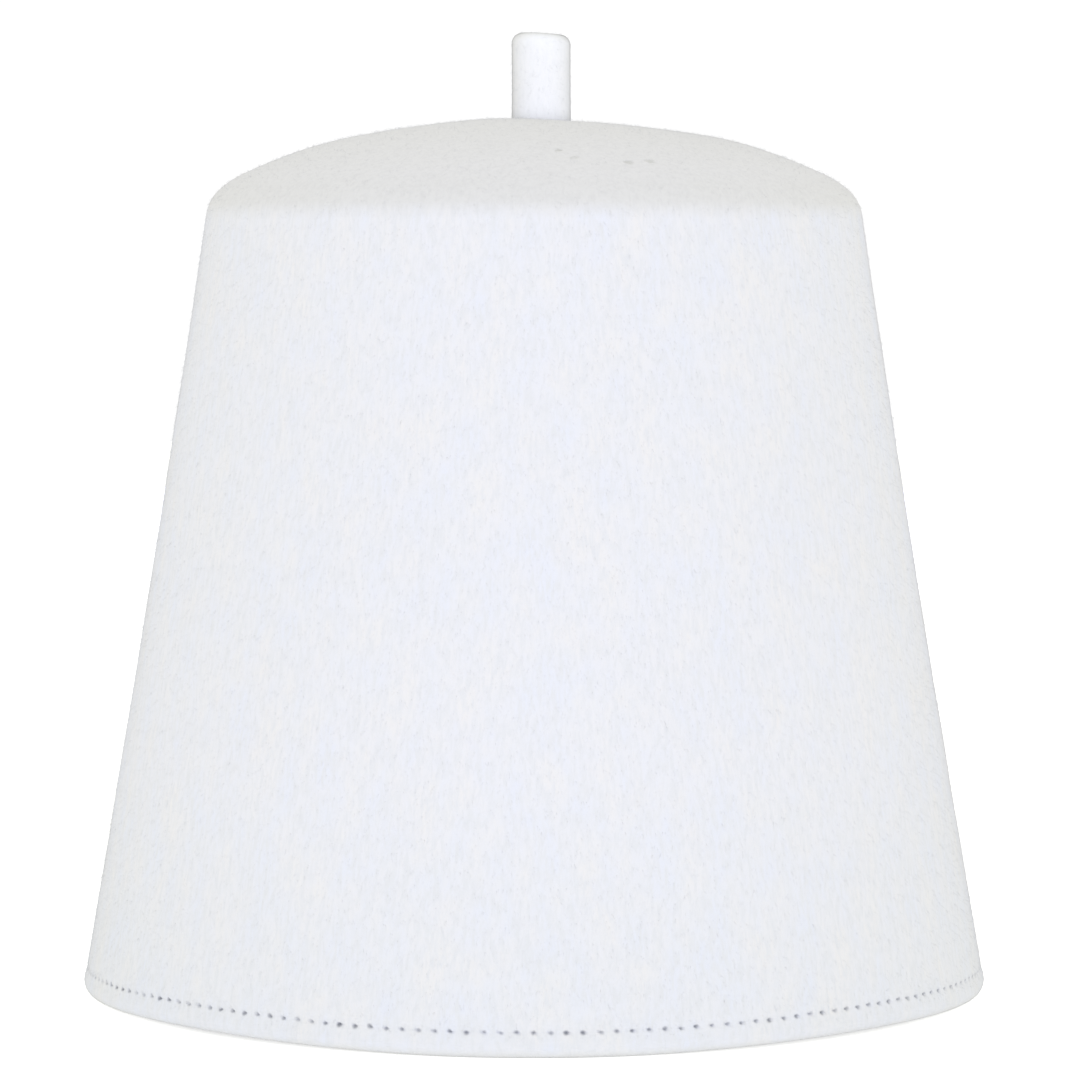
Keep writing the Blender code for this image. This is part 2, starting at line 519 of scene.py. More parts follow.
# %% Pull the edge up a little between front and side
EDGE_LIFT = 0.0008
EDGE_PULL_SIZE = 0.062
EXACTLY = 1e-7


def pull_softly(item, place, move, size):
    """Move the vertex nearest a place, and let its surroundings follow with a smooth falloff."""
    nearest = min(item.data.vertices, key=lambda vert: (vert.co - place).length).index
    target = item.data.vertices[nearest].co.copy()
    select_where(item, lambda co: (co - target).length < EXACTLY)
    bpy.ops.transform.translate(
        value=move,
        use_proportional_edit=True,
        proportional_edit_falloff="SMOOTH",
        proportional_size=size,
    )
    object_mode()


for quarter in range(4):
    angle = math.radians(45.0 + 90.0 * quarter)
    place = Vector((WALL_FOOT * math.sin(angle), -WALL_FOOT * OVAL * math.cos(angle), 0.0))
    pull_softly(felt_cap, place, (0.0, 0.0, EDGE_LIFT), EDGE_PULL_SIZE)

# %% Let the crown settle round the stem
# Side is along X and ahead is along Y, so minus is toward the hat's front.
CROWN_SAGS = (
    {"side": 0.0145, "ahead": -0.0030, "depth": 0.00066, "size": 0.024},
    {"side": 0.0380, "ahead": -0.0040, "depth": 0.00030, "size": 0.030},
    {"side": -0.0260, "ahead": -0.0040, "depth": 0.00020, "size": 0.020},
    {"side": 0.0045, "ahead": -0.0065, "depth": 0.00045, "size": 0.008},
)

for sag in CROWN_SAGS:
    place = Vector((sag["side"], sag["ahead"], crown_height_at(sag["side"], sag["ahead"])))
    pull_softly(felt_cap, place, (0.0, 0.0, -sag["depth"]), sag["size"])
print("lowest point", round(min(vert.co.z for vert in felt_cap.data.vertices), 5))

# %% Faint unevenness of the felt
UNEVEN_DEPTH = 0.0005
UNEVEN_SIZE = 0.022
UNEVEN_FOOT = 0.006            # the hem below this height stays true
UNEVEN_FULL = 0.036            # and the felt above this one is fully uneven

soft_group = felt_cap.vertex_groups.new(name="soft_felt")
for vert in felt_cap.data.vertices:
    rise = min(max((vert.co.z - UNEVEN_FOOT) / (UNEVEN_FULL - UNEVEN_FOOT), 0.0), 1.0)
    if rise > 0.0:
        soft_group.add([vert.index], rise, "REPLACE")
clouds = bpy.data.textures.new("felt_clouds", "CLOUDS")
clouds.noise_scale = UNEVEN_SIZE
clouds.noise_depth = 2
uneven = felt_cap.modifiers.new("unevenness", "DISPLACE")
uneven.texture = clouds
uneven.texture_coords = "LOCAL"
uneven.strength = UNEVEN_DEPTH
uneven.mid_level = 0.5
uneven.vertex_group = "soft_felt"
apply_all_modifiers(felt_cap)
only_selected(felt_cap)
bpy.ops.object.shade_smooth()
print("felt cap finished:", triangles(felt_cap), "triangles")

# %% [markdown]
# ## The stem
# The stem is a stub of the same felt, pressed round and sewn on in the middle of the crown, a touch to one
# side. One ring is walked up its side and over a soft shoulder to a slightly domed top, and one shoulder is
# pressed down a little. Its foot is sunk into the crown, as a stub is that is sewn on tightly.

# %% Sizes of the stem
STEM_RADIUS = 0.0058
STEM_RISE = 0.0167
STEM_OFFSET = 0.0014
STEM_SINK = 0.0016             # how far its foot is pressed into the crown's felt
STEM_ROUND = 0.0021
STEM_WAIST = 0.00006           # the side dips in this much halfway up
STEM_DOME = 0.0001
STEM_COLUMNS = 96
SIDE_RINGS = 12
ROUND_RINGS = 8
TOP_RINGS = (0.75, 0.5, 0.25, 0.1)   # as shares of the flat top's half width
SHOULDER_SIDE = 0.0046         # place of the pressed shoulder, along X from the stem's middle
SHOULDER_AHEAD = -0.0020
SHOULDER_PRESS = 0.0004
SHOULDER_PUSH = 0.0001
SHOULDER_SIZE = 0.0090

# %% Walk a ring up the stem
stem_foot = crown_height_at(STEM_OFFSET, 0.0) - STEM_SINK
stem_top = crown_height_at(0.0, 0.0) + STEM_RISE
side_foot = stem_foot + STEM_SINK
side_top = stem_top - STEM_ROUND
stem_path = [(STEM_RADIUS, stem_foot), (STEM_RADIUS, side_foot)]
for step in range(1, SIDE_RINGS + 1):
    share = step / SIDE_RINGS
    height = side_foot + (side_top - side_foot) * share
    stem_path.append((STEM_RADIUS - STEM_WAIST * math.sin(math.pi * share), height))
for step in range(1, ROUND_RINGS + 1):
    turn = 0.5 * math.pi * step / ROUND_RINGS
    reach = STEM_RADIUS - STEM_ROUND + STEM_ROUND * math.cos(turn)
    stem_path.append((reach, side_top + STEM_ROUND * math.sin(turn)))
for share in TOP_RINGS:
    stem_path.append(((STEM_RADIUS - STEM_ROUND) * share, stem_top + STEM_DOME * (1.0 - share)))

stem = walk_ring("stem_surface", STEM_COLUMNS, stem_path)
select_where(stem, lambda co: abs(co.z - stem_foot) < SAME_PLACE)
bpy.ops.mesh.edge_face_add()
bpy.ops.mesh.poke()
bpy.ops.mesh.select_all(action="SELECT")
bpy.ops.mesh.normals_make_consistent(inside=False)
bpy.ops.transform.translate(value=(STEM_OFFSET, 0.0, 0.0))
object_mode()
shoulder = Vector((STEM_OFFSET + SHOULDER_SIDE, SHOULDER_AHEAD, stem_top - SHOULDER_PRESS))
pull_softly(stem, shoulder, (-SHOULDER_PUSH, 0.0, -SHOULDER_PRESS), SHOULDER_SIZE)
only_selected(stem)
bpy.ops.object.shade_smooth()
print("stem:", triangles(stem), "triangles")

# %% [markdown]
# ## The thread
# The hem is sewn with white thread, one short stitch from each needle hole to the next. One stitch is
# modelled: a thin rod, cut across, with its ends bent down into the holes. It is then copied round the hem,
# each copy turned to the line between its two holes.

# %% Model one stitch
STITCH_LENGTH = 0.0030
THREAD_RADIUS = 0.00017
STITCH_CUTS = (-0.4, -0.2, 0.2, 0.4)   # as shares of its length
END_DROP = 0.0010              # how far its ends go down into the holes
BEND_DROP = 0.00028            # and its outer cuts, so that it bends softly

nothing_selected()
bpy.ops.mesh.primitive_cylinder_add(
    vertices=6,
    radius=THREAD_RADIUS,
    depth=STITCH_LENGTH,
    location=(0.0, 0.0, 0.0),
    rotation=(0.0, math.radians(90.0), 0.0),
)
stitch = bpy.context.object
stitch.name = "stitch"
bpy.ops.object.transform_apply(location=True, rotation=True, scale=True)
edit_mode()
for cut in STITCH_CUTS:
    bpy.ops.mesh.select_all(action="SELECT")
    bpy.ops.mesh.bisect(plane_co=(cut * STITCH_LENGTH, 0.0, 0.0), plane_no=(1.0, 0.0, 0.0))
object_mode()
for side in (-1.0, 1.0):
    for share, drop in ((0.5, END_DROP), (STITCH_CUTS[-1], BEND_DROP)):
        select_where(stitch, lambda co: abs(co.x * side - share * STITCH_LENGTH) < SAME_PLACE)
        bpy.ops.transform.translate(value=(0.0, 0.0, -drop))
        object_mode()
print("one stitch:", triangles(stitch), "triangles")

# %% Copy the stitch round the hem
hole_places = sorted(
    (felt_cap.data.vertices[index].co.copy() for index in hole_indices),
    key=lambda co: math.atan2(co.x, -co.y),
)
THREAD_LIFT = 0.00036


def place_between(first, second):
    """The turn and place of a stitch that spans two needle holes."""
    along = second - first
    middle = (first + second) / 2.0
    out = Vector((middle.x, middle.y / OVAL ** 2, 0.0)).normalized()
    along_unit = along.normalized()
    side = out.cross(along_unit).normalized()
    out = along_unit.cross(side).normalized()
    turn = Matrix((along_unit, side, out)).transposed().to_4x4()
    stretch = Matrix.Scale(along.length / STITCH_LENGTH, 4, (1.0, 0.0, 0.0))
    return Matrix.Translation(middle + out * THREAD_LIFT) @ turn @ stretch


copies = []
for first, second in zip(hole_places, hole_places[1:] + hole_places[:1]):
    copy = stitch.copy()
    copy.data = stitch.data.copy()
    copy.data.transform(place_between(first, second))
    bpy.context.scene.collection.objects.link(copy)
    copies.append(copy)
bpy.data.objects.remove(stitch, do_unlink=True)
nothing_selected()
for copy in copies:
    copy.select_set(True)
bpy.context.view_layer.objects.active = copies[0]
bpy.ops.object.join()
thread = bpy.context.object
thread.name = "hem_thread"
edit_mode()
bpy.ops.mesh.select_all(action="SELECT")
bpy.ops.mesh.normals_make_consistent(inside=False)
object_mode()
bpy.ops.object.shade_smooth()
print("thread:", len(copies), "stitches,", triangles(thread), "triangles")

# %% [markdown]
# ## The nap
# Close to the eye, felt is covered with short loose wool ends. They lie low, brushed downward on the wall and
# every way on the crown and the stem, and they break up the even tone and the sharp outline of bare cloth.
# A particle system could grow them, but then they wouldn't be a mesh. Here one fibre is modelled, and a
# Geometry Nodes modifier scatters small copies of it over the felt and is then applied. The scatter draws a
# number for each face in turn, and extruding makes faces in an order that changes from run to run, so the
# faces are first sorted by their distance from two places.

# %% Model one fibre
FIBRE_LENGTH = 0.0011
FIBRE_THICKNESS = 0.00004
FIBRE_SINK = 0.00004           # its root sits this deep in the felt

nothing_selected()
bpy.ops.mesh.primitive_cone_add(
    vertices=3,
    radius1=0.5 * FIBRE_THICKNESS,
    radius2=0.0,
    depth=FIBRE_LENGTH,
    location=(0.5 * FIBRE_LENGTH, 0.0, -FIBRE_SINK),
    rotation=(0.0, math.radians(90.0), 0.0),
)
fibre = bpy.context.object
fibre.name = "one_fibre"
bpy.ops.object.transform_apply(location=True, rotation=True, scale=True)
print("one fibre:", triangles(fibre), "triangles")


# %% Keep only the felt that the nap grows on
NAP_LOWEST = 0.0032            # the fibres hang down and must not reach the table
SORTING_PLACES = ((0.31, -0.17, 0.07), (-0.23, 0.29, 0.13))   # off every line of symmetry


def skin_of(item, name, keep):
    """A copy of an object with only the faces whose middle and normal pass a test."""
    skin = item.copy()
    skin.data = item.data.copy()
    skin.name = name
    bpy.context.scene.collection.objects.link(skin)
    for face in skin.data.polygons:
        face.select = not keep(face.center, face.normal)
    for edge in skin.data.edges:
        edge.select = False
    for vert in skin.data.vertices:
        vert.select = False
    only_selected(skin)
    edit_mode()
    bpy.ops.mesh.select_mode(type="FACE")
    bpy.ops.mesh.delete(type="FACE")
    bpy.ops.mesh.select_all(action="SELECT")
    for place in SORTING_PLACES:
        bpy.context.scene.cursor.location = place
        bpy.ops.mesh.sort_elements(type="CURSOR_DISTANCE", elements={"VERT", "EDGE", "FACE"})
    object_mode()
    return skin


def faces_out(centre, normal):
    return Vector((centre.x, centre.y, 0.0)).normalized().dot(normal) > 0.0


CROWN_TILT = 0.6               # a face with a normal steeper than this belongs to the crown


def on_wall(centre, normal):
    return centre.z > NAP_LOWEST and faces_out(centre, normal) and normal.z < CROWN_TILT


def on_crown(centre, normal):
    return centre.z > 0.5 * CAP_HEIGHT and normal.z >= CROWN_TILT


def on_stem(centre, normal):
    return centre.z > CAP_HEIGHT


# %% Scatter the fibres
LIFT_LEAST = math.radians(12.0)
LIFT_MOST = math.radians(50.0)
SHORTEST = 0.55                # share of the modelled fibre's length
LONGEST = 1.25


def nap_nodes(name, density, spread, seed):
    """Geometry nodes that put one fibre on each of many points, brushed downward within a spread."""
    tree = bpy.data.node_groups.new(name, "GeometryNodeTree")
    tree.interface.new_socket(name="Skin", in_out="INPUT", socket_type="NodeSocketGeometry")
    tree.interface.new_socket(name="Nap", in_out="OUTPUT", socket_type="NodeSocketGeometry")
    start = tree.nodes.new("NodeGroupInput")
    points = add_node(tree, "GeometryNodeDistributePointsOnFaces", {
        "Mesh": start.outputs[0],
        "Density": density,
        "Seed": seed,
    })
    normal = points.outputs["Normal"]
    upright = add_node(tree, "FunctionNodeAlignRotationToVector", {"Vector": normal})
    upright.axis = "Z"
    brushed = add_node(tree, "FunctionNodeAlignRotationToVector", {
        "Rotation": upright.outputs[0],
        "Vector": (0.0, 0.0, -1.0),
    })
    brushed.axis = "X"
    brushed.pivot_axis = "Z"
    wander = tree.nodes.new("FunctionNodeRandomValue")
    wander.data_type = "FLOAT_VECTOR"
    fill(wander, {0: (0.0, -LIFT_MOST, -spread), 1: (0.0, -LIFT_LEAST, spread), "Seed": seed + 1})
    turn = add_node(tree, "FunctionNodeEulerToRotation", {0: wander.outputs[0]})
    ruffled = add_node(tree, "FunctionNodeRotateRotation", {
        "Rotation": brushed.outputs[0],
        "Rotate By": turn.outputs[0],
    })
    ruffled.rotation_space = "LOCAL"
    length = add_node(tree, "FunctionNodeRandomValue", {2: SHORTEST, 3: LONGEST, "Seed": seed + 2})
    one = add_node(tree, "GeometryNodeObjectInfo", {"Object": fibre})
    plant = add_node(tree, "GeometryNodeInstanceOnPoints", {
        "Points": points.outputs["Points"],
        "Instance": one.outputs["Geometry"],
        "Rotation": ruffled.outputs[0],
        "Scale": length.outputs[1],
    })
    real = add_node(tree, "GeometryNodeRealizeInstances", {0: plant.outputs[0]})
    add_node(tree, "NodeGroupOutput", {0: real.outputs[0]})
    return tree


MAP_SIZE = 0.200               # metres across the square of the nap's colour map


def place_round(co):
    """Map place of a point on a piece that stands round the axis."""
    return (column_at(co) / COLUMNS, co.z / MAP_SIZE)


def place_flat(co):
    """Map place of a point on the crown, seen from above."""
    return (0.5 + co.x / MAP_SIZE, 0.5 + co.y / MAP_SIZE)


def lay_map(item, place_on_map):
    """Give the loose fibres a plain UV map, because thousands of ends can't be unwrapped in good time."""
    places = [place_on_map(vert.co) for vert in item.data.vertices]
    flat = [0.0] * (2 * len(item.data.loops))
    for face in item.data.polygons:
        middle = place_on_map(face.center)[0]
        for loop_index in face.loop_indices:
            u, v = places[item.data.loops[loop_index].vertex_index]
            flat[2 * loop_index] = u + round(middle - u)
            flat[2 * loop_index + 1] = v
    item.data.uv_layers.new(name="OFBake").data.foreach_set("uv", flat)


def grow_nap(skin, count, spread, seed, place_on_map):
    """Turn a piece of skin into its nap."""
    area = sum(face.area for face in skin.data.polygons)
    scatter = skin.modifiers.new("scatter", "NODES")
    scatter.node_group = nap_nodes(skin.name + "_nodes", count / area, spread, seed)
    apply_all_modifiers(skin)
    lay_map(skin, place_on_map)
    only_selected(skin)
    bpy.ops.object.shade_smooth()
    print(skin.name, "on", round(area * 1e4, 1), "square cm:", triangles(skin), "triangles")
    return skin


WALL_FIBRES = 47000
CROWN_FIBRES = 9000
STEM_FIBRES = 800

wall_skin = skin_of(felt_cap, "wall_nap", on_wall)
crown_skin = skin_of(felt_cap, "crown_nap", on_crown)
stem_skin = skin_of(stem, "stem_nap", on_stem)
wall_nap = grow_nap(wall_skin, WALL_FIBRES, math.radians(30.0), 11, place_round)
crown_nap = grow_nap(crown_skin, CROWN_FIBRES, math.pi, 23, place_flat)
stem_nap = grow_nap(stem_skin, STEM_FIBRES, math.radians(90.0), 37, place_round)
bpy.data.objects.remove(fibre, do_unlink=True)

# %% [markdown]
# ## A light for the stem
# The stem stands so high that little light comes back to it from the floor, yet in the photograph it is the
# brightest felt. Light linking lets one more soft panel shine on the stem and its nap alone. It stands a
# little to the wearer's left, so that the stem's other side stays darker.

# %% Light linked to the stem
STEM_PANEL_POWER = 6.7
STEM_PANEL_COLOUR = (0.73, 0.78, 1.0)
STEM_PANEL_SWING = math.radians(20.0)

stem_panel = soft_panel("stem_panel", STEM_PANEL_SWING, STEM_PANEL_POWER, STEM_PANEL_COLOUR)
stem_felts = bpy.data.collections.new("stem_felts")
for item in (stem, stem_nap):
    stem_felts.objects.link(item)
stem_panel.light_linking.receiver_collection = stem_felts

# %% [markdown]
# ## The felt's grain
# Felt is a mat of wool fibres. On the wall, where it was pulled down over the block, they lie more or less
# upright and show as fine short streaks, and over a few millimetres the felt is a little denser here and
# thinner there. Both the cap and the stem have this grain, so it is a node group with named sockets that
# each material uses with its own values.

# %% Node group for the felt's grain
STREAK_RELIEF = 0.6            # as a share of the clouds' relief


def node_group(name, asked, given):
    """A group with named inputs, each a number or, where its value is None, a place, and named outputs."""
    group = bpy.data.node_groups.new(name, "ShaderNodeTree")
    for title, value in asked.items():
        kind = "NodeSocketVector" if value is None else "NodeSocketFloat"
        socket = group.interface.new_socket(name=title, in_out="INPUT", socket_type=kind)
        if value is not None:
            socket.default_value = value
    for title in given:
        group.interface.new_socket(name=title, in_out="OUTPUT", socket_type="NodeSocketFloat")
    return group, group.nodes.new("NodeGroupInput").outputs, group.nodes.new("NodeGroupOutput").inputs


def drawn_out(tree, place, stretch):
    """A place whose height counts less, so that a pattern laid there is drawn out upright."""
    scale = add_node(tree, "ShaderNodeCombineXYZ", {"X": 1.0, "Y": 1.0, "Z": stretch})
    return vector_maths(tree, "MULTIPLY", place, scale.outputs[0])


grain, asked, given = node_group(
    "felt_grain",
    {"Place": None, "Fibre Scale": 1500.0, "Fibre Stretch": 0.2, "Cloud Scale": 170.0, "Cloud Stretch": 0.5},
    ("Fibres", "Clouds", "Height"),
)
streaks = add_node(grain, "ShaderNodeTexNoise", {
    "Vector": drawn_out(grain, asked["Place"], asked["Fibre Stretch"]),
    "Scale": asked["Fibre Scale"],
    "Detail": 3.0,
    "Roughness": 0.6,
    "Distortion": 0.4,
})
drifts = add_node(grain, "ShaderNodeTexNoise", {
    "Vector": drawn_out(grain, asked["Place"], asked["Cloud Stretch"]),
    "Scale": asked["Cloud Scale"],
    "Detail": 4.0,
    "Roughness": 0.6,
})
relief = maths(grain, "MULTIPLY_ADD", streaks.outputs["Fac"], STREAK_RELIEF, drifts.outputs["Fac"])
grain.links.new(streaks.outputs["Fac"], given["Fibres"])
grain.links.new(drifts.outputs["Fac"], given["Clouds"])
grain.links.new(relief, given["Height"])
print("grain group:", len(grain.nodes), "nodes")

# %% [markdown]
# ## The needle holes
# Each hole is a small dark, soft-edged spot of painted shadow, the shade inside the hole, with its own
# darkness.
# It could be painted on an image, but a few maths nodes on the sewing map draw a round spot at every whole
# number of U at the height of the crease, sharp at any zoom. Only the felt cap has them, yet a group keeps the
# material easy to read.

# %% Node group for the painted shadows in the needle holes
SLIP_ACROSS = 0.25             # how far, in millimetres, a hole may sit off its place along the row
SLIP_ALONG = 0.18              # and above or below the row
HOLE_FLATTENING = 1.15         # a hole is this much wider than it is high
HOLE_SOFTNESS = 1.35           # its darkness ends at this many hole sizes, and is full within 0.35
SMALLEST_HOLE = 0.8            # share of the hole size
# how dark the painted shadow in a hole may be, least and most
PALEST_HOLE_SHADOW = 0.33
DARKEST_HOLE_SHADOW = 0.78

needle, asked, given = node_group(
    "needle_hole_shadows",
    {"Sewing Map": None, "Row Height": CREASE_HEIGHT * 1000.0, "Hole Size": 0.42, "Stitch Length": 3.0},
    ("Hole",),
)


def slip(chance, most):
    """A move of up to the most, either way."""
    return maths(needle, "MULTIPLY_ADD", chance, 2.0 * most, -most)


sewn = add_node(needle, "ShaderNodeSeparateXYZ", {0: asked["Sewing Map"]}).outputs
hole_number = maths(needle, "ROUND", sewn["X"])
dice = needle.nodes.new("ShaderNodeTexWhiteNoise")
dice.noise_dimensions = "1D"
fill(dice, {"W": hole_number})
red, green, blue = add_node(needle, "ShaderNodeSeparateColor", {0: dice.outputs["Color"]}).outputs
off_number = maths(needle, "SUBTRACT", sewn["X"], hole_number)
across_plain = maths(needle, "MULTIPLY", off_number, asked["Stitch Length"])
across = maths(needle, "ADD", across_plain, slip(red, SLIP_ACROSS))
along_plain = maths(needle, "SUBTRACT", sewn["Y"], asked["Row Height"])
along = maths(needle, "ADD", along_plain, slip(green, SLIP_ALONG))
along_soft = maths(needle, "MULTIPLY", along, HOLE_FLATTENING)
across_square = maths(needle, "MULTIPLY", across, across)
distance_square = maths(needle, "MULTIPLY_ADD", along_soft, along_soft, across_square)
hole_share = maths(needle, "MULTIPLY_ADD", blue, 2.0 * (1.0 - SMALLEST_HOLE), SMALLEST_HOLE)
hole_size = maths(needle, "MULTIPLY", hole_share, asked["Hole Size"])
ratio = maths(needle, "DIVIDE", maths(needle, "SQRT", distance_square), hole_size)
spot = maths(needle, "SUBTRACT", HOLE_SOFTNESS, ratio, clamp=True)
darkness_range = DARKEST_HOLE_SHADOW - PALEST_HOLE_SHADOW
darkness = maths(needle, "MULTIPLY_ADD", dice.outputs["Value"], darkness_range, PALEST_HOLE_SHADOW)
needle.links.new(maths(needle, "MULTIPLY", spot, darkness), given["Hole"])
print("needle group:", len(needle.nodes), "nodes")

# %% [markdown]
# ## Pressed marks on the crown
# In front of the stem the crown has a few tiny dents, each a short stroke a millimetre or two long. The mesh
# is too coarse there to push them in, so a node group measures how far a place is from each one, and the
# material dips its relief there and darkens them with painted shade. A little noise on the place keeps their
# outlines from looking drawn.

# %% Node group for the pressed marks
MARKS = (
    {"side": 0.0027, "ahead": -0.0475, "width": 0.0017, "strength": 0.40},
    {"side": 0.0045, "ahead": -0.0524, "width": 0.0012, "strength": 0.95},
    {"side": 0.0078, "ahead": -0.0558, "width": 0.0020, "strength": 0.60},
    {"side": 0.0175, "ahead": -0.0555, "width": 0.0015, "strength": 1.00},
    {"side": 0.0216, "ahead": -0.0532, "width": 0.0017, "strength": 0.80},
)
MARK_LENGTH = 0.0015           # front to back
MARK_TURN = 0.35               # each mark runs a little slanted
MARK_WANDER = 0.0016           # how far the noise moves a place
MARK_NOISE = 900.0

marks, asked, given = node_group("pressed_marks", {"Place": None}, ("Mark",))
mark_noise = add_node(marks, "ShaderNodeTexNoise", {"Vector": asked["Place"], "Scale": MARK_NOISE})
wander = (MARK_WANDER, MARK_WANDER, 0.0)
wandered = vector_maths(marks, "MULTIPLY_ADD", mark_noise.outputs["Color"], wander, asked["Place"])
marked = 0.0
for number, mark in enumerate(MARKS):
    middle = (mark["side"] + 0.5 * MARK_WANDER, mark["ahead"] + 0.5 * MARK_WANDER, CAP_HEIGHT)
    turned = marks.nodes.new("ShaderNodeVectorRotate")
    turned.rotation_type = "Z_AXIS"
    from_middle = vector_maths(marks, "SUBTRACT", wandered, middle)
    fill(turned, {"Vector": from_middle, "Angle": MARK_TURN * math.cos(2.0 * number)})
    sized = vector_maths(marks, "DIVIDE", turned.outputs[0], (mark["width"], MARK_LENGTH, 1.0))
    near = maths(marks, "SUBTRACT", 1.0, vector_maths(marks, "LENGTH", sized), clamp=True)
    near = maths(marks, "MULTIPLY", near, mark["strength"])
    marked = maths(marks, "MAXIMUM", marked, near)
marks.links.new(marked, given["Mark"])
print("pressed marks:", len(MARKS))

# %% [markdown]
# ## Felt materials
# Wool felt is matt: it scatters light, has almost no gloss, and gives a weak sheen. Where it turns away from
# the eye, one looks through more of its loose fibre and it darkens a little. A coat without any gloss
# (refraction 1, fully rough) does that: its tint is a thin veil, and the lower the angle, the more veil
# the eye looks through. The colour is a white with a slightly cool and a slightly warm tint that drift into
# each other, and the grain raises tiny bumps. The cap adds painted shade: dark needle holes, darker pressed
# marks, a crown painted a plainer grey-white so that the top looks darker, with a greyer rim, a wall a hair
# greyer toward the hem, and a neutral lower edge painted greyer. The stem is painted a brighter white than the
# cap, a painted light, and is greyer just above its foot, a painted shade where it meets the crown.

# %% Helpers that mix colours and make ramps
def colour_mix(tree, factor, first, second, blend="MIX"):
    """Mix two colours, each a socket or a plain colour."""
    node = tree.nodes.new("ShaderNodeMix")
    node.data_type = "RGBA"
    node.blend_type = blend
    for slot, value in (("Factor", factor), ("A", first), ("B", second)):
        socket = [item for item in node.inputs if item.name == slot and item.enabled][0]
        if isinstance(value, tuple):
            socket.default_value = (*value, 1.0)
        else:
            tree.links.new(value, socket)
    return [item for item in node.outputs if item.enabled][0]


def ramp(tree, value, none, full):
    """0 where the value is none, 1 where it is full, and a straight slope between them."""
    return maths(tree, "DIVIDE", maths(tree, "SUBTRACT", value, none), full - none, clamp=True)


def height_of(tree, place):
    """The height in a place that a socket gives."""
    return add_node(tree, "ShaderNodeSeparateXYZ", {0: place}).outputs["Z"]


def use_group(tree, group, inputs):
    """A node group in a material, with its inputs filled."""
    node = tree.nodes.new("ShaderNodeGroup")
    node.node_tree = group
    return fill(node, inputs)


# %% What only the cap has
# painted shade: the crown is painted a greyer white than the wall, so that the top looks darker
CROWN_WOOL_PAINTED_SHADE = (0.792, 0.788, 0.814)
CROWN_THIN_PAINTED_SHADE = (0.754, 0.750, 0.777)
CROWN_FADE_FOOT = 0.1508       # below this height the felt is the wall's
CROWN_FADE_TOP = 0.1540        # above this one it is the crown's
CROWN_VEIL = 0.28              # share of the wall's veil that the crown has
RIM_PAINTED_SHADE = (0.953, 0.953, 0.925)   # painted shade: the crown's rim is a touch greyer
RIM_TOP = 0.1600
RIM_FOOT = 0.1550
# painted shade in the pressed marks
MARK_PAINTED_SHADE = (0.650, 0.650, 0.655)
MARK_CONTRAST = 2.2
MARK_FLOOR = 0.5
MARK_DEPTH = 2.0               # as a share of the grain's relief
LOW_PAINTED_SHADE = (0.978, 0.984, 0.970)   # painted shade: the wall is a hair greyer toward the hem
LOW_TOP = 0.050
EDGE_PAINTED_SHADE = (0.785, 0.785, 0.760)
EDGE_SHADE_TOP = 0.0018           # the fold is painted greyer below this height, a painted shade
# painted shadow inside the needle holes
HOLE_PAINTED_SHADOW = (0.20, 0.21, 0.25)
HOLE_RELIEF = 1.2


def cap_finish(tree, shader, place, gaps, colour, height):
    """Add painted shade: the greyer foot, the greyer crown with its rim and dark marks, the greyer lower edge
    and the dark needle holes.
    """
    above = height_of(tree, place)
    # painted shade: the wall is greyer toward the hem
    colour = colour_mix(tree, ramp(tree, above, LOW_TOP, 0.0), colour, LOW_PAINTED_SHADE, blend="MULTIPLY")
    # painted shade: the crown is painted a greyer white than the wall
    crown_grain_and_shade = colour_mix(tree, gaps, CROWN_WOOL_PAINTED_SHADE, CROWN_THIN_PAINTED_SHADE)
    # painted shade: the crown's rim is greyer still
    on_rim = ramp(tree, above, RIM_TOP, RIM_FOOT)
    crown_grain_and_shade = colour_mix(tree, on_rim, crown_grain_and_shade, RIM_PAINTED_SHADE, blend="MULTIPLY")
    pressed = use_group(tree, marks, {"Place": place}).outputs["Mark"]
    # the pressed marks: painted shade in each, and a dip in the relief
    mark = maths(tree, "MULTIPLY_ADD", pressed, MARK_CONTRAST, -MARK_FLOOR, clamp=True)
    crown_grain_and_shade = colour_mix(tree, mark, crown_grain_and_shade, MARK_PAINTED_SHADE)
    height = maths(tree, "MULTIPLY_ADD", mark, -MARK_DEPTH, height)
    wall_share = ramp(tree, above, CROWN_FADE_TOP, CROWN_FADE_FOOT)
    colour = colour_mix(tree, wall_share, crown_grain_and_shade, colour)
    veil_share = maths(tree, "MULTIPLY_ADD", wall_share, 1.0 - CROWN_VEIL, CROWN_VEIL)
    fill(shader, {"Coat Weight": veil_share})
    # painted shade: the lower edge of the fold is greyer
    colour = colour_mix(tree, ramp(tree, above, 0.0, EDGE_SHADE_TOP), EDGE_PAINTED_SHADE, colour)
    sewing = tree.nodes.new("ShaderNodeUVMap")
    sewing.uv_map = "sewing"
    # the needle holes: painted shadow in each, and a dip in the relief
    hole = use_group(tree, needle, {"Sewing Map": sewing.outputs[0]}).outputs["Hole"]
    colour = colour_mix(tree, hole, colour, HOLE_PAINTED_SHADOW)
    height = maths(tree, "MULTIPLY_ADD", hole, -HOLE_RELIEF, height)
    return colour, height


# %% What only the stem has
# painted shade where the stem meets the crown
FOOT_PAINTED_SHADE = (0.780, 0.785, 0.795)
FOOT_SHADE_HEIGHT = 0.0033


def stem_finish(tree, shader, place, gaps, colour, height):
    """Add painted shade at its foot, where it meets the crown. It takes the same values as cap_finish, so that
    either can be called.
    """
    unshaded_share = ramp(tree, height_of(tree, place), stem_foot, stem_foot + FOOT_SHADE_HEIGHT)
    return colour_mix(tree, unshaded_share, FOOT_PAINTED_SHADE, colour), height


# %% Felt material
DRIFT_CONTRAST = 3.0
GAP_CONTRAST = 4.0
GAP_LEVEL = 0.575              # the fibre noise is taken for a gap below this value
RELIEF_DEPTH = 0.00025
MATT_WOOL = {
    "Roughness": 0.95,
    "Specular IOR Level": 0.15,
    "Sheen Weight": 0.08,
    "Sheen Roughness": 0.6,
    "Coat Weight": 1.0,
    "Coat IOR": 1.0,
    "Coat Roughness": 1.0,
}


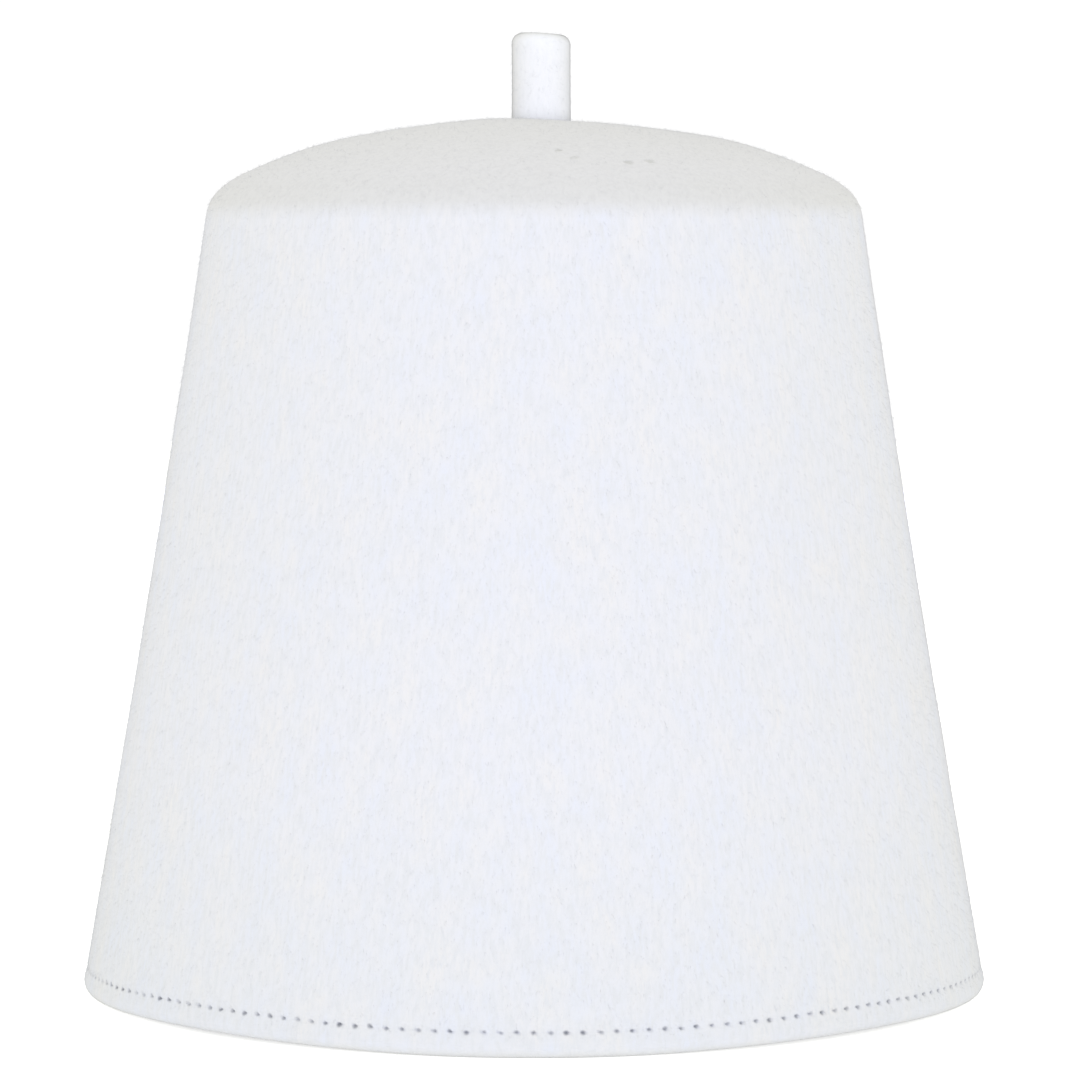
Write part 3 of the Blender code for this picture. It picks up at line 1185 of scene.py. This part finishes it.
def felt_material(name, look, finish):
    """A felt finish: two drifting tints, thinner gaps between the fibres, fine relief and a veil."""
    material, tree, shader, place = new_material(name)
    wool = use_group(tree, grain, {
        "Place": place,
        "Fibre Scale": look["fibre_scale"],
        "Fibre Stretch": look["fibre_stretch"],
    }).outputs
    middle = 0.5 - 0.5 * DRIFT_CONTRAST
    drift = maths(tree, "MULTIPLY_ADD", wool["Clouds"], DRIFT_CONTRAST, middle, clamp=True)
    level = GAP_CONTRAST * GAP_LEVEL
    gaps = maths(tree, "MULTIPLY_ADD", wool["Fibres"], -GAP_CONTRAST, level, clamp=True)
    colour = colour_mix(tree, drift, look["cool"], look["warm"])
    colour = colour_mix(tree, gaps, colour, look["thin"])
    colour, height = finish(tree, shader, place, gaps, colour, wool["Height"])
    relief = add_node(tree, "ShaderNodeBump", {
        "Strength": look["relief"],
        "Distance": RELIEF_DEPTH,
        "Height": height,
    })
    fill(shader, MATT_WOOL)
    fill(shader, {"Base Color": colour, "Normal": relief.outputs[0], "Coat Tint": look["veil"]})
    return material


# %% The two felts
WALL_LOOK = {
    "cool": (0.803, 0.820, 0.893),
    "warm": (0.842, 0.832, 0.845),
    "thin": (0.783, 0.791, 0.824),
    "veil": (0.9895, 0.9895, 0.9895, 1.0),
    "fibre_scale": 1150.0,
    "fibre_stretch": 0.22,
    "relief": 0.35,
}
# painted light: the stem is the same felt as the cap, painted a brighter white
STEM_LOOK_PAINTED_LIGHT = {
    "cool": (0.972, 0.978, 0.995),
    "warm": (0.985, 0.980, 0.982),
    "thin": (0.950, 0.955, 0.965),
    "veil": (0.910, 0.910, 0.910, 1.0),
    "fibre_scale": 1500.0,
    "fibre_stretch": 0.35,
    "relief": 0.30,
}

cap_felt = felt_material("white_wool_felt", WALL_LOOK, cap_finish)
stem_felt = felt_material("stem_felt", STEM_LOOK_PAINTED_LIGHT, stem_finish)
print("felts:", len(cap_felt.node_tree.nodes), "and", len(stem_felt.node_tree.nodes), "nodes")

# %% [markdown]
# ## Thread and loose wool
# Both are too fine to show a grain, so their tone just changes a little from place to place. The thread is
# spun from pale strands and has a slight gloss. The loose ends catch the light or lie in shade, so the noise
# that mixes their two tones has more contrast.

# %% Thread and loose wool
def two_tone_material(name, dark, pale, scale, contrast, gloss):
    """A plain matt finish whose tone drifts between two colours."""
    material, tree, shader, place = new_material(name)
    drift = add_node(tree, "ShaderNodeTexNoise", {"Vector": place, "Scale": scale}).outputs["Fac"]
    drift = maths(tree, "MULTIPLY_ADD", drift, contrast, 0.5 - 0.5 * contrast, clamp=True)
    fill(shader, gloss)
    fill(shader, {"Base Color": colour_mix(tree, drift, dark, pale)})
    return material


THREAD_GLOSS = {"Roughness": 0.55, "Specular IOR Level": 0.3}
WOOL_GLOSS = {"Roughness": 0.9, "Specular IOR Level": 0.1}

sewing_thread = two_tone_material(
    "sewing_thread",
    dark=(0.80, 0.81, 0.85),
    pale=(0.86, 0.87, 0.90),
    scale=4000.0,
    contrast=1.0,
    gloss=THREAD_GLOSS,
)
loose_wool = two_tone_material(
    "loose_wool",
    dark=(0.680, 0.685, 0.700),
    pale=(0.950, 0.955, 0.970),
    scale=700.0,
    contrast=3.0,
    gloss=WOOL_GLOSS,
)

# %% Give each piece its material
felt_cap.data.materials.append(cap_felt)
stem.data.materials.append(stem_felt)
for piece, finish in (
    (thread, sewing_thread),
    (wall_nap, loose_wool),
    (crown_nap, loose_wool),
    (stem_nap, loose_wool),
):
    piece.data.materials.clear()
    piece.data.materials.append(finish)

# %% [markdown]
# ## Hand the pieces to the frame
# The hat has no moving parts: every piece rides on its one body. The felt cap and the stem stand for the
# plain solids of the model, which stay behind for collision.

# %% Ride and replace
for piece in (felt_cap, stem, thread, wall_nap, crown_nap, stem_nap):
    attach(piece, "root")
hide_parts("felt_cap")
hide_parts("stem")
